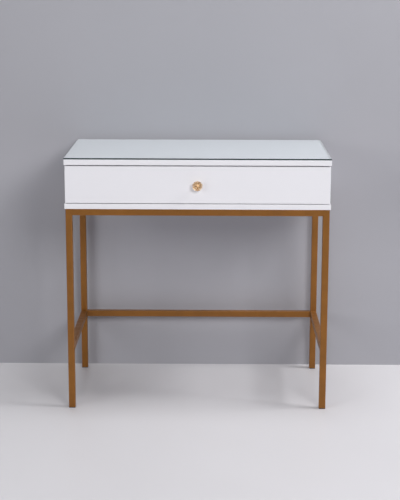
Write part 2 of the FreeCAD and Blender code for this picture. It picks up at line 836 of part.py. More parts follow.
def make_knob():
    """The crystal head, its brass seat, and the screw that holds them from inside the drawer."""
    face = "front_edge + front_recess"
    seat = turned("knob_base", [
        ("knob_screw", "0"),
        ("knob_base_radius", "0"),
        ("knob_base_radius", "0.14 * knob_base_rise"),
        ("0.85 * knob_base_radius", "0.26 * knob_base_rise"),
        ("knob_neck", "0.42 * knob_base_rise"),
        ("knob_neck", "0.60 * knob_base_rise"),
        ("knob_cup", "0.88 * knob_base_rise"),
        ("knob_cup", "knob_base_rise"),
        ("0", "knob_base_rise"),
        ("0", "knob_screw_grip + 1"),
        ("knob_screw", "knob_screw_grip + 1"),
    ])
    keep("knob_base", place(seat, "0", face, "drawer_axis", facing(FORWARD)))
    head = doc.addObject("Part::Feature", "crystal_knob")
    head.Shape = crystal_shape()
    keep("crystal_knob", place(head, "0", f"{face} - knob_base_rise", "drawer_axis", facing(FORWARD)))
    long_screw = screw("knob_screw", "board + knob_screw_grip", "knob_screw")
    keep("knob_screw", place(long_screw, "0", "front_rear", "drawer_axis", facing(BACKWARD)))


# ---- runners ----

def channel(label, sign, web, tip, half):
    """A rolled steel channel along +Y. Its web stands at web, and its flanges run to tip and turn in there.

    Across is measured from the case's side panel towards the drawer, and half is the channel's half height.
    """
    body = new_body(label)
    sketch = new_sketch(body, "XZ_Plane", "-runner_length")
    direction = 1 if amount(tip) > amount(web) else -1
    inside = f"{half} - runner_steel"
    web_inside = f"{web} + {direction} * runner_steel"
    lip_start = f"{tip} - {direction} * runner_steel"
    lip = f"{inside} - runner_lip"
    upper = [(web, half), (tip, half), (tip, lip), (lip_start, lip), (lip_start, inside)]
    upper.append((web_inside, inside))
    lower = [(across, f"-({up})") for across, up in reversed(upper)]
    corners = [(f"{sign} * ({across})", up) for across, up in upper + lower]
    closed_outline(sketch, corners)
    pad(body, sketch, "runner_length")
    return body


def ball_row(label, sign, across, half):
    """Two rows of balls, above and below the middle of the runner."""
    ball = doc.addObject("Part::Sphere", f"{label}_ball")
    bind(ball, "Radius", "ball_radius")
    spots = [
        (f"{sign} * (side_inner - ({across}))",
         f"runner_front + cage_start + {step + 0.5} * ball_pitch",
         f"drawer_axis + {side} * ({half})", facing(UP))
        for side in (-1, 1)
        for step in range(RUNNER_BALLS)
    ]
    return copies(label, ball, spots)


def cage(label, sign, across, half):
    """Two thin strips with a round hole for each ball."""
    strip = block(f"{label}_strip", "2 * ball_radius + 1", "cage_length", "cage_sheet")
    hole = rod(f"{label}_hole", "ball_radius + 0.1", "-1", "cage_sheet + 1")
    spots = [
        ("0", f"{step + 0.5} * ball_pitch - cage_length / 2", "0", facing(UP))
        for step in range(RUNNER_BALLS)
    ]
    punched = cut(f"{label}_punched", strip, copies(f"{label}_holes", hole, spots))
    places = [
        (f"{sign} * (side_inner - ({across}))", "runner_front + cage_start + cage_length / 2",
         f"drawer_axis + {side} * ({half}) - cage_sheet / 2", facing(UP))
        for side in (-1, 1)
    ]
    return copies(label, punched, places)


def make_runner(side, sign):
    """One runner: three channels, two cages of balls, its screws and its rear stop.

    sign is -1 on the left and 1 on the right. A place across the runner is measured from the side panel.
    """
    outer_half = "runner_height / 2"
    middle_half = "runner_height / 2 - runner_steel - ball_gap"
    inner_half = "runner_height / 2 - 2 * runner_steel - 2 * ball_gap"
    middle_web = "runner_steel + web_gap"
    members = [
        ("cabinet_member", "0", "runner_width - 2.2", outer_half),
        ("middle_member", middle_web, "runner_width - 1.7", middle_half),
        ("drawer_member", "runner_width", "runner_width - 8", inner_half),
    ]
    spots = {
        "cabinet_member": runner_screw_spots("side_inner - runner_steel", 1),
        "drawer_member": runner_screw_spots("drawer_half + runner_steel", -1),
    }
    grips = {"cabinet_member": "case_screw_grip", "drawer_member": "drawer_screw_grip"}
    for name, web, tip, half in members:
        node = f"{side}_{name}"
        body = channel(f"{node}_channel", -sign, web, tip, half)
        place(body, f"{sign} * side_inner", "runner_front", "drawer_axis")
        if name not in spots:
            keep(node, body)
            continue
        near = [spot for spot in spots[name] if (amount(spot[0]) > 0) == (sign > 0)]
        countersinks = copies(f"{node}_countersinks", flat_screw(f"{node}_countersink", grips[name]), near)
        keep(node, cut(node, body, countersinks))
        piece = flat_screw(f"{node}_screw", grips[name])
        recess(piece, "0", cross("0.7 * screw_radius", "0.35"), "0.7 * runner_steel")
        keep(f"{node}_screws", copies(f"{node}_screws", piece, near))
    across = "(runner_steel + web_gap + runner_width - 1.7) / 2 - 0.3"
    rows = [("outer", f"({outer_half} + {middle_half} - runner_steel) / 2"),
            ("inner", f"({middle_half} + {inner_half} - runner_steel) / 2")]
    for name, half in rows:
        keep(f"{side}_{name}_balls", ball_row(f"{side}_{name}_balls", sign, across, half))
        keep(f"{side}_{name}_cage", cage(f"{side}_{name}_cage", sign, across, half))


def check_document():
    """Stop if any object failed, or if a sub-part has no valid shape."""
    doc.recompute()
    for thing in doc.Objects:
        if {"Invalid", "Error"} & set(thing.State):
            raise RuntimeError(f"{thing.Label}: {thing.State}")
    for part in parts:
        if part.Shape.isNull() or not part.Shape.isValid():
            raise RuntimeError(f"{part.Label}: its shape is not valid")


def export_parts():
    """Write each sub-part to its own STEP file, named after its node."""
    os.makedirs("parts", exist_ok=True)
    for part in parts:
        part.Shape.exportStep(f"parts/{part.Label}.step")


fill_sheet()
make_rails(make_legs(), make_frame_fixings())
make_feet()
make_case(make_case_fixings())
make_bumpers()
make_glass()
make_drawer(make_drawer_fixings())
make_knob()
make_runner("left", -1)
make_runner("right", 1)
check_document()
export_parts()
print(len(parts), "sub-parts")
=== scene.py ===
"""The looks of a slim dressing table: lacquered boards, painted tubes, a glass sheet and a crystal knob.

Lengths are metres in the table's own frame: +X to the right, +Y to the back, +Z up, the floor at z = 0.
Outer sizes and places are read from the frame's nodes, and the classes hold the sizes of worked edges.
"""

import json
import logging
import math
from collections.abc import Sequence
from dataclasses import dataclass
from enum import Enum

import bpy
import numpy as np
from bpy.types import Material, Node, NodeSocket, NodeTree, Object
from mathutils import Matrix, Vector


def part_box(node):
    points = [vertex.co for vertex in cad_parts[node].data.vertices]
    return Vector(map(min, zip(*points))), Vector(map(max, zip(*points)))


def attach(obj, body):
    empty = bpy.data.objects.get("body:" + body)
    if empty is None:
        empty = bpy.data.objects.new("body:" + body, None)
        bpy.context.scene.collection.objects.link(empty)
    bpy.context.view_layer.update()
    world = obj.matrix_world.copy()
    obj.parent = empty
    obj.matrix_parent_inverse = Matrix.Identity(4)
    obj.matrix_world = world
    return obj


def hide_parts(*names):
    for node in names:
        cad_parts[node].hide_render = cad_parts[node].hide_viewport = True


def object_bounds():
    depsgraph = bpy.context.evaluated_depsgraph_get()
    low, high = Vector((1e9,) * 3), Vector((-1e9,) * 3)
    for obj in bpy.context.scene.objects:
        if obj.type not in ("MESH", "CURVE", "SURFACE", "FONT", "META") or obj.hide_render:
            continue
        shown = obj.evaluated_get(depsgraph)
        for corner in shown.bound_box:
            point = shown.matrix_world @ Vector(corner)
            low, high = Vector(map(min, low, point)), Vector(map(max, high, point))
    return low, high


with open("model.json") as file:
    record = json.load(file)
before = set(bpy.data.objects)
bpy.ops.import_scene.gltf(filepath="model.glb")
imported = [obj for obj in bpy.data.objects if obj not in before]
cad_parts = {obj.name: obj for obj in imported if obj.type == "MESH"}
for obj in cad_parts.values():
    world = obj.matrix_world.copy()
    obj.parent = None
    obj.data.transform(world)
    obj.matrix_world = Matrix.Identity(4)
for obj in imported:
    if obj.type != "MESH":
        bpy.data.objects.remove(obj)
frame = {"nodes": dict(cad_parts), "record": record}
CAD_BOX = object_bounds()

LOG = logging.getLogger("dressing_table")
MM = 0.001
EDGE_EXPOSURE = "edge_exposure"
# where nearly all of a noise's values lie
NOISE_SPAN = (0.3, 0.7)

Triple = tuple[float, float, float]
Fed = float | NodeSocket
Inputs = dict[str | int, object]
Profile = tuple[tuple[float, float], ...]


class Axis(Enum):
    """A direction to carry a profile in: where its own u, v and w point in the table's frame."""

    X = ((0, 1, 0), (0, 0, 1), (1, 0, 0))
    Y = ((0, 0, 1), (1, 0, 0), (0, 1, 0))
    Z = ((1, 0, 0), (0, 1, 0), (0, 0, 1))
    FRONT = ((1, 0, 0), (0, 0, 1), (0, -1, 0))

    def placed(self, points: np.ndarray, origin: Sequence[float] = (0, 0, 0)) -> np.ndarray:
        """Points given along u, v and w, in the table's frame, measured from origin."""
        return points @ np.array(self.value, float) + np.array(origin, float)

    def box(self, node: str) -> np.ndarray:
        """A node's lowest and highest corners along u, v and w."""
        return np.sort(np.array(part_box(node)) @ np.array(self.value, float).T, axis=0)


# ---- surfaces worked out on grids ----


class Shell:
    """A mesh in the making: its points, how far each lies out on an arris, its faces and their zones."""

    def __init__(self) -> None:
        """Starts with nothing in it."""
        self.points: list[np.ndarray] = []
        self.edge_exposure: list[np.ndarray] = []
        self.faces: list[list[int]] = []
        self.zones: list[int] = []
        self.total = 0

    def add_points(self, points: np.ndarray, edge_exposure: np.ndarray | float = 0.0) -> np.ndarray:
        """Adds points of any grid shape.

        Args:
            points: An array whose last axis holds x, y and z.
            edge_exposure: The exposure of each point, or one value for all.

        Returns:
            The points' numbers, in the grid's shape.
        """
        grid = points.shape[:-1]
        count = math.prod(grid)
        self.points.append(points.reshape(-1, 3))
        self.edge_exposure.append(np.broadcast_to(edge_exposure, grid).reshape(-1))
        numbers = self.total + np.arange(count).reshape(grid)
        self.total += count
        return numbers

    def add_faces(self, corners: np.ndarray, zone: int = 0) -> None:
        """Adds faces in a material zone, one row of point numbers for each, all rows equally long."""
        self.faces += corners.tolist()
        self.zones += [zone] * len(corners)

    def add_grid(self, points: np.ndarray, edge_exposure: np.ndarray | float = 0.0, ring: bool = False,
                 zone: int = 0) -> np.ndarray:
        """Adds a tube-like grid, whose columns close on themselves.

        The face at row i and column j joins points (i, j), (i, j + 1), (i + 1, j + 1) and (i + 1, j), so it
        looks along the column direction crossed with the row direction.

        Args:
            points: Rows by columns by 3.
            edge_exposure: The exposure of each point, or one value for all.
            ring: Whether the last row joins the first, as in a tube with a wall.
            zone: The material zone of its faces.

        Returns:
            The points' numbers, rows by columns.
        """
        numbers = self.add_points(points, edge_exposure)
        here = numbers if ring else numbers[:-1]
        above = np.roll(numbers, -1, 0) if ring else numbers[1:]
        quads = np.stack([here, np.roll(here, -1, 1), np.roll(above, -1, 1), above], -1)
        self.add_faces(quads.reshape(-1, 4), zone)
        return numbers

    def add_closed(self, points: np.ndarray, edge_exposure: np.ndarray | float = 0.0, zone: int = 0) -> None:
        """Adds a tube-like grid with a flat face over its first row and another over its last.

        Args:
            points: Rows by columns by 3.
            edge_exposure: The exposure of each point, or one value for all.
            zone: The material zone of all but the two flat faces.
        """
        numbers = self.add_grid(points, edge_exposure, zone=zone)
        self.add_faces(np.stack([numbers[0, ::-1], numbers[-1]]))

    def piece(self, name: str, smooth: bool = True) -> Object:
        """Makes the object.

        Args:
            name: The piece's name.
            smooth: Whether its faces shade into each other, by the area of each.

        Returns:
            The object, linked to the scene.
        """
        mesh = bpy.data.meshes.new(name)
        mesh.from_pydata(np.concatenate(self.points), [], self.faces)
        mesh.polygons.foreach_set("material_index", self.zones)
        mesh.polygons.foreach_set("use_smooth", [smooth] * len(self.faces))
        exposure = mesh.attributes.new(EDGE_EXPOSURE, "FLOAT", "POINT")
        exposure.data.foreach_set("value", np.concatenate(self.edge_exposure).astype(np.float32))
        mesh.update()
        obj = bpy.data.objects.new(name, mesh)
        bpy.context.scene.collection.objects.link(obj)
        if smooth:
            even = obj.modifiers.new("even_shading", "WEIGHTED_NORMAL")
            even.keep_sharp = True
        return obj


@dataclass(frozen=True)
class RoundedOutline:
    """A rectangle with round corners, in metres, run anticlockwise as seen against w."""

    half_u: float
    half_v: float
    radius: float
    steps: int = 5

    def angles(self) -> tuple[np.ndarray, np.ndarray]:
        """Where each point lies on the round corners.

        Returns:
            The quarter that it is in, from 0 to 3, and its direction as an angle.
        """
        quarter = np.repeat(np.arange(4), self.steps + 1)
        share = np.tile(np.linspace(0, 1, self.steps + 1), 4)
        return quarter, (quarter + share) * np.pi / 2

    def rings(self, insets: np.ndarray) -> np.ndarray:
        """The outline drawn in by each inset.

        A point is its corner's centre plus the corner's radius, less the inset, times a direction that
        turns through a quarter circle. The straight sides join each corner's last point to the next's first.

        Args:
            insets: How far each ring is drawn in.

        Returns:
            Rings by points by 2.
        """
        quarter, angle = self.angles()
        middle = (quarter + 0.5) * np.pi / 2
        reach = np.array([self.half_u - self.radius, self.half_v - self.radius])
        centre = np.sign(np.stack([np.cos(middle), np.sin(middle)], -1)) * reach
        direction = np.stack([np.cos(angle), np.sin(angle)], -1)
        return centre + (self.radius - insets)[:, None, None] * direction

    def exposure(self) -> np.ndarray:
        """How far each point is exposed: 1 in the middle of a corner and 0 where a straight side starts."""
        _, angle = self.angles()
        return np.abs(np.sin(2 * angle))


def stacked(rings: np.ndarray, heights: np.ndarray) -> np.ndarray:
    """Rings of u and v with their heights along w, as rows by columns by 3."""
    lifted = np.broadcast_to(heights[:, None, None], (*rings.shape[:2], 1))
    return np.concatenate([rings, lifted], -1)


def slab(shell: Shell, low: Vector, high: Vector, corner: float, arris: float, edge_zone: int = 0,
         steps: int = 4) -> None:
    """Adds a board whose every edge is rounded.

    While an angle a runs through a quarter turn, the outline is drawn in by the arris times 1 - sin a, at
    the arris times 1 - cos a above the underside. It then climbs straight, and the arc backwards ends it.

    Args:
        shell: What to add it to.
        low: The board's lowest corner.
        high: The board's highest corner.
        corner: The radius of its upright edges, more than the arris.
        arris: The radius of its level edges.
        edge_zone: The material zone of all but its top and its underside.
        steps: Faces along each arc.
    """
    middle, half = (low + high) / 2, (high - low) / 2
    turn = np.linspace(0, np.pi / 2, steps + 1)
    inset, rise = arris * (1 - np.sin(turn)), arris * (1 - np.cos(turn))
    outline = RoundedOutline(half.x, half.y, corner, steps)
    rings = outline.rings(np.concatenate([inset, inset[::-1]]))
    heights = np.concatenate([rise - half.z, half.z - rise[::-1]])
    arc = np.abs(np.sin(2 * turn))
    edge_exposure = np.maximum(np.concatenate([arc, arc[::-1]])[:, None], outline.exposure()[None, :])
    edge_exposure[[0, -1]] = 0
    shell.add_closed(stacked(rings, heights) + np.array(middle), edge_exposure, edge_zone)


def tube(shell: Shell, outline: RoundedOutline, ends: tuple[float, float], wall: float, axis: Axis,
         origin: Sequence[float]) -> None:
    """Adds a tube with a wall.

    The outline is carried along the outside to the far end, steps in by the wall, and comes back inside.
    Its ends are eased by a share of the wall.

    Args:
        shell: What to add it to.
        outline: The outside of its section.
        ends: Where it starts and stops along the axis, from the origin.
        wall: The thickness of its wall.
        axis: The direction it runs in.
        origin: A point on its centre line.
    """
    ease_share = 0.15
    ease = ease_share * wall
    start, stop = ends
    insets = np.array([ease, 0, 0, ease, wall, wall])
    heights = np.array([start, start + ease, stop - ease, stop, stop, start])
    edge_exposure = np.repeat(outline.exposure()[None, :], len(insets), 0)
    shell.add_grid(axis.placed(stacked(outline.rings(insets), heights), origin), edge_exposure, ring=True)


def eased(profile: np.ndarray, ease: float, most: float = 0.45, steps: int = 4) -> np.ndarray:
    """Rounds a profile's corners.

    Each corner gives way to the curve (1 - t)^2 A + 2t (1 - t) B + t^2 C, where B is the corner and A and C
    lie on its two sides, the ease away from it.

    Args:
        profile: Points by 2.
        ease: How far from the corner the curve starts.
        most: The largest share of a side that it may start at.
        steps: Runs along each curve.

    Returns:
        The rounded profile, points by 2, with its two ends as they were.
    """
    before, corner, after = profile[:-2], profile[1:-1], profile[2:]
    t = np.linspace(0, 1, steps + 1)[None, :, None]

    def towards(side: np.ndarray) -> np.ndarray:
        """The point on the way from each corner to its neighbour where its curve starts or ends."""
        way = side - corner
        length = np.linalg.norm(way, axis=1, keepdims=True)
        return (corner + way / length * np.minimum(ease, most * length))[:, None]

    curve = (1 - t) ** 2 * towards(before) + 2 * t * (1 - t) * corner[:, None] + t ** 2 * towards(after)
    return np.concatenate([profile[:1], curve.reshape(-1, 2), profile[-1:]])


def turned(shell: Shell, profile: np.ndarray, axis: Axis, origin: Sequence[float], sides: int = 48) -> None:
    """Adds a turned piece: each point of a profile, a radius and a height, goes round the axis in a circle.

    Args:
        shell: What to add it to.
        profile: Points by 2, from the lowest upwards along the outside.
        axis: The direction of its centre line.
        origin: Where that line starts.
        sides: Faces round it.
    """
    angle = np.arange(sides) * 2 * np.pi / sides
    radius, height = profile[:, :1], profile[:, 1]
    circles = np.stack([radius * np.cos(angle), radius * np.sin(angle)], -1)
    shell.add_closed(axis.placed(stacked(circles, height), origin))


# ---- shader trees ----


class Nodes:
    """A shader node tree in the making."""

    def __init__(self, tree: NodeTree) -> None:
        """Takes over an empty tree."""
        self.tree = tree

    def node(self, kind: str, inputs: Inputs | None = None, **settings: object) -> Node:
        """Adds a shader node.

        Args:
            kind: Its type, without ShaderNode in front.
            inputs: What each input takes, by name or number: a socket, which is linked, or a value.
            settings: Its own settings, by their Python names.

        Returns:
            The node.
        """
        node = self.tree.nodes.new(f"ShaderNode{kind}")
        for key, value in settings.items():
            setattr(node, key, value)
        for key, value in (inputs or {}).items():
            if isinstance(value, NodeSocket):
                self.tree.links.new(value, node.inputs[key])
            else:
                node.inputs[key].default_value = value
        return node

    def math(self, operation: str, *terms: Fed) -> NodeSocket:
        """What an operation on one or two numbers gives, each of them a socket or a value."""
        return self.node("Math", dict(enumerate(terms)), operation=operation).outputs[0]

    def noise(self, place: NodeSocket, scale: Fed, detail: float, roughness: float = 0.5,
              distortion: float = 0.0) -> NodeSocket:
        """Adds cloudy noise.

        Args:
            place: The coordinates that it is read at.
            scale: How many clouds there are to a metre.
            detail: How many finer layers lie on the clouds.
            roughness: The strength of each layer, as a share of the coarser one's.
            distortion: How far the clouds are bent.

        Returns:
            A value about a half.
        """
        return self.node("TexNoise", {
            "Vector": place, "Scale": scale, "Detail": detail, "Roughness": roughness,
            "Distortion": distortion,
        }).outputs["Fac"]

    def ranged(self, value: NodeSocket, within: tuple[float, float],
               onto: tuple[Fed, Fed]) -> NodeSocket:
        """Carries one range of a value onto another, and holds it at their ends.

        Args:
            value: The value.
            within: The range that counts.
            onto: What its two ends become.

        Returns:
            The new value.
        """
        return self.node("MapRange", dict(enumerate((value, *within, *onto)))).outputs[0]


class Effect(Nodes):
    """A shader node group with named inputs and outputs, which several finishes share."""

    def __init__(self, name: str, inputs: dict[str, tuple[str, object]], outputs: Sequence[str]) -> None:
        """Starts the group. Its first input is the place that its pattern is read at.

        Args:
            name: The group's name.
            inputs: The kind of each further input's socket, such as Float, and its value.
            outputs: Its outputs. The one named Color is a colour, and the others are numbers.
        """
        super().__init__(bpy.data.node_groups.new(name, "ShaderNodeTree"))
        for label, (kind, value) in ({"Vector": ("Vector", (0, 0, 0))} | inputs).items():
            socket = self.tree.interface.new_socket(label, in_out="INPUT", socket_type=f"NodeSocket{kind}")
            socket.default_value = value
        for label in outputs:
            kind = "Color" if label == "Color" else "Float"
            self.tree.interface.new_socket(label, in_out="OUTPUT", socket_type=f"NodeSocket{kind}")
        self.given = self.tree.nodes.new("NodeGroupInput").outputs
        self.result = self.tree.nodes.new("NodeGroupOutput").inputs

    def give(self, label: str, socket: NodeSocket) -> None:
        """Sends a socket out as one of the group's outputs."""
        self.tree.links.new(socket, self.result[label])


def fine_grain() -> NodeTree:
    """Small relief, as sprayed, cast or pressed: a height, and a mask of broader patches for the roughness.

    Returns:
        The group.
    """
    patch_share = 0.04
    effect = Effect("fine_grain", {"Scale": ("Float", 800.0)}, ("Height", "Patches"))
    place, scale = effect.given["Vector"], effect.given["Scale"]
    effect.give("Height", effect.noise(place, scale, 3.0, 0.55))
    effect.give("Patches", effect.noise(place, effect.math("MULTIPLY", scale, patch_share), 2.0))
    return effect.tree


def tone_drift() -> NodeTree:
    """A colour that drifts a little lighter and darker from place to place.

    Returns:
        The group.
    """
    inputs = {"Color": ("Color", (0.8, 0.8, 0.8, 1.0)), "Scale": ("Float", 8.0), "Amount": ("Float", 0.04)}
    effect = Effect("tone_drift", inputs, ("Color",))
    amount = effect.given["Amount"]
    clouds = effect.noise(effect.given["Vector"], effect.given["Scale"], 3.0, 0.6)
    ends = effect.math("SUBTRACT", 1.0, amount), effect.math("ADD", 1.0, amount)
    level = effect.ranged(clouds, NOISE_SPAN, ends)
    shade = effect.node("VectorMath", {0: effect.given["Color"], "Scale": level}, operation="SCALE")
    effect.give("Color", shade.outputs[0])
    return effect.tree


def rubbed_edges() -> NodeTree:
    """A mask of the arrises, broken up: abrasion on some finishes and a painted highlight on others.

    Returns:
        The group.
    """
    breakups_to_a_metre = 90.0
    effect = Effect("rubbed_edges", {"Amount": ("Float", 0.5)}, ("Mask",))
    exposed = effect.node("Attribute", attribute_name=EDGE_EXPOSURE, attribute_type="GEOMETRY").outputs["Fac"]
    breakup = effect.noise(effect.given["Vector"], breakups_to_a_metre, 4.0, 0.65)
    broken = effect.ranged(breakup, (0.42, 0.66), (0.25, 1.0))
    there = effect.math("MULTIPLY", exposed, broken)
    effect.give("Mask", effect.math("MULTIPLY", there, effect.given["Amount"]))
    return effect.tree


def settled_dust() -> NodeTree:
    """A mask of the faces that look upwards, where a little dust settles in drifts.

    Returns:
        The group.
    """
    drifts_to_a_metre = 45.0
    effect = Effect("settled_dust", {"Amount": ("Float", 0.2)}, ("Mask",))
    facing = effect.node("SeparateXYZ", {0: effect.node("NewGeometry").outputs["Normal"]}).outputs["Z"]
    level = effect.ranged(facing, (0.5, 1.0), (0.0, 1.0))
    drifts = effect.noise(effect.given["Vector"], drifts_to_a_metre, 6.0, 0.7)
    there = effect.math("MULTIPLY", level, effect.ranged(drifts, (0.45, 0.8), (0.0, 1.0)))
    effect.give("Mask", effect.math("MULTIPLY", there, effect.given["Amount"]))
    return effect.tree


@dataclass(frozen=True)
class Effects:
    """The shared node groups, built once."""

    grain: NodeTree
    drift: NodeTree
    edge_marks: NodeTree
    dust: NodeTree

    @classmethod
    def build(cls) -> "Effects":
        """Builds all four."""
        return cls(fine_grain(), tone_drift(), rubbed_edges(), settled_dust())


class Recipe(Nodes):
    """A material's own node tree, with the table's coordinates at hand."""

    def __init__(self, name: str) -> None:
        """Starts a material of this name, with nothing in it but its output."""
        self.material = bpy.data.materials.new(name)
        self.material.use_nodes = True
        super().__init__(self.material.node_tree)
        self.tree.nodes.clear()
        self.output = self.tree.nodes.new("ShaderNodeOutputMaterial")
        self.place = self.node("TexCoord").outputs["Object"]

    def effect(self, tree: NodeTree, **inputs: object) -> Node:
        """Places a shared effect in the material, with this material's own values."""
        return self.node("Group", inputs, node_tree=tree)

    def mapped(self, **settings: object) -> NodeSocket:
        """The table's coordinates, moved by a Location or stretched by a Scale."""
        return self.node("Mapping", {"Vector": self.place, **settings}).outputs[0]

    def bump(self, height: NodeSocket, depth: float) -> NodeSocket:
        """The normal of a relief of this depth, in metres."""
        return self.node("Bump", {"Height": height, "Distance": depth}).outputs[0]

    def blend(self, mask: NodeSocket, under: NodeSocket, over: Triple) -> NodeSocket:
        """Lays a colour over another one.

        Args:
            mask: Where, and how strongly.
            under: The colour beneath.
            over: The colour on top.

        Returns:
            The blended colour.
        """
        place = {"factor": 0, "under": 6, "over": 7, "result": 2}
        mix = self.node("Mix", {place["factor"]: mask, place["under"]: under, place["over"]: (*over, 1.0)},
                        data_type="RGBA")
        return mix.outputs[place["result"]]

    def show(self, shader: Node) -> Material:
        """Makes a shader the surface, and returns the material."""
        self.tree.links.new(shader.outputs[0], self.output.inputs["Surface"])
        return self.material


# ---- finishes ----


@dataclass(frozen=True)
class Coat:
    """An opaque finish: lacquer, paint, foil, plastic, or metal as rolled, cast or plated.

    The grain's relief is a bump this deep, stretched along the lie, and the colour drifts over larger
    patches. The arrises take the edge colour: abrasion for the drawer white and the foot plastic, a
    painted highlight on the white lacquer and the glass's edges, and a lighter tone along the frame's
    tube corners. Upper faces carry a trace of dust.
    """

    slot: str
    color: Triple
    roughness: float
    metallic: float = 0.0
    gloss: float = 0.0
    gloss_roughness: float = 0.12
    grain: float = 1.2 * MM
    relief: float = 0.01 * MM
    lie: Triple = (1.0, 1.0, 1.0)
    patchy: float = 0.06
    drift: float = 0.02
    drift_size: float = 0.15
    # arris colour and strength: abrasion on some finishes, painted highlight on the lacquer and glass edge
    edge_wear_and_glint_color: Triple = (0.7, 0.7, 0.7)
    edge_wear_and_glint: float = 0.0
    dusty: float = 0.03
    dust_color: Triple = (0.55, 0.54, 0.52)

    def build(self, effects: Effects) -> Material:
        """Makes the material.

        Args:
            effects: The shared node groups.

        Returns:
            The material, named after its slot.
        """
        recipe = Recipe(f"{self.slot}_finish")
        grain = recipe.effect(effects.grain, Vector=recipe.mapped(Scale=self.lie), Scale=1 / self.grain)
        tone = recipe.effect(effects.drift, Vector=recipe.place, Color=(*self.color, 1.0),
                             Scale=1 / self.drift_size, Amount=self.drift)
        # the arris mask: abrasion on some finishes, a painted highlight on the lacquer and glass edge
        edge_marks = recipe.effect(effects.edge_marks, Vector=recipe.place, Amount=self.edge_wear_and_glint)
        dust = recipe.effect(effects.dust, Vector=recipe.place, Amount=self.dusty)
        edged = recipe.blend(edge_marks.outputs[0], tone.outputs[0], self.edge_wear_and_glint_color)
        rough = recipe.ranged(grain.outputs["Patches"], NOISE_SPAN,
                              (self.roughness - self.patchy, self.roughness + self.patchy))
        return recipe.show(recipe.node("BsdfPrincipled", {
            "Base Color": recipe.blend(dust.outputs[0], edged, self.dust_color), "Roughness": rough,
            "Normal": recipe.bump(grain.outputs["Height"], self.relief), "Metallic": self.metallic,
            "Coat Weight": self.gloss, "Coat Roughness": self.gloss_roughness,
        }))


@dataclass(frozen=True)
class Clear:
    """A clear solid: float glass, cut crystal or soft silicone. Lamps shine through it without being bent.

    The density is how much of the tint's missing colour a metre of it takes out. The ripple is the depth of
    its waves. A flat sheet also lets the gleam of what lies under it through.
    """

    slot: str
    ior: float
    color: Triple = (1.0, 1.0, 1.0)
    roughness: float = 0.0
    shade: Triple = (0.98, 0.995, 0.99)
    tint: Triple = (0.43, 0.74, 0.66)
    density: float = 0.0
    ripple: float = 0.0
    waves_to_a_metre: float = 4.0
    shine: float = 0.5
    flat: bool = False

    def build(self, effects: Effects) -> Material:
        """Makes the material.

        Args:
            effects: The shared node groups.

        Returns:
            The material, named after its slot.
        """
        recipe = Recipe(f"{self.slot}_finish")
        shader = recipe.node("BsdfPrincipled", {
            "Base Color": (*self.color, 1.0), "Roughness": self.roughness, "IOR": self.ior,
            "Transmission Weight": 1.0, "Specular IOR Level": self.shine,
        })
        if self.ripple:
            wave = recipe.effect(effects.grain, Vector=recipe.place, Scale=self.waves_to_a_metre)
            recipe.tree.links.new(recipe.bump(wave.outputs["Height"], self.ripple), shader.inputs["Normal"])
        path = recipe.node("LightPath").outputs
        lit = recipe.math("MAXIMUM", path["Is Shadow Ray"], path["Is Diffuse Ray"])
        if self.flat:
            lit = recipe.math("MAXIMUM", lit, path["Is Glossy Ray"])
        through = recipe.node("BsdfTransparent", {"Color": (*self.shade, 1.0)})
        if self.density:
            tint = {"Color": (*self.tint, 1.0), "Density": self.density}
            absorbing = recipe.node("VolumeAbsorption", tint)
            recipe.tree.links.new(absorbing.outputs[0], recipe.output.inputs["Volume"])
        return recipe.show(recipe.node("MixShader", {0: lit, 1: shader.outputs[0], 2: through.outputs[0]}))


@dataclass(frozen=True)
class TurnedBrass:
    """Polished brass off a lathe, with faint rings round its centre line, which runs along Y."""

    slot: str
    color: Triple
    centre: Triple
    roughness: tuple[float, float] = (0.11, 0.23)
    ring_pitch: float = 0.35 * MM
    relief: float = 0.004 * MM
    drift: float = 0.06
    clouds_to_a_metre: float = 180.0
    grains_to_a_metre: float = 2500.0

    def build(self, effects: Effects) -> Material:
        """Makes the material.

        The rings are the sine of the distance from the centre line over the pitch.

        Args:
            effects: The shared node groups.

        Returns:
            The material, named after its slot.
        """
        recipe = Recipe(f"{self.slot}_finish")
        about = recipe.mapped(Location=tuple(-c for c in self.centre))
        flat = recipe.node("VectorMath", {0: about, 1: (1, 0, 1)}, operation="MULTIPLY")
        away = recipe.node("VectorMath", {0: flat.outputs[0]}, operation="LENGTH").outputs["Value"]
        rings = recipe.math("SINE", recipe.math("MULTIPLY", away, 2 * math.pi / self.ring_pitch))
        tone = recipe.effect(effects.drift, Vector=recipe.place, Color=(*self.color, 1.0),
                             Scale=self.clouds_to_a_metre, Amount=self.drift)
        grain = recipe.effect(effects.grain, Vector=recipe.place, Scale=self.grains_to_a_metre)
        return recipe.show(recipe.node("BsdfPrincipled", {
            "Base Color": tone.outputs[0], "Metallic": 1.0, "Normal": recipe.bump(rings, self.relief),
            "Roughness": recipe.ranged(grain.outputs["Patches"], NOISE_SPAN, self.roughness),
        }))


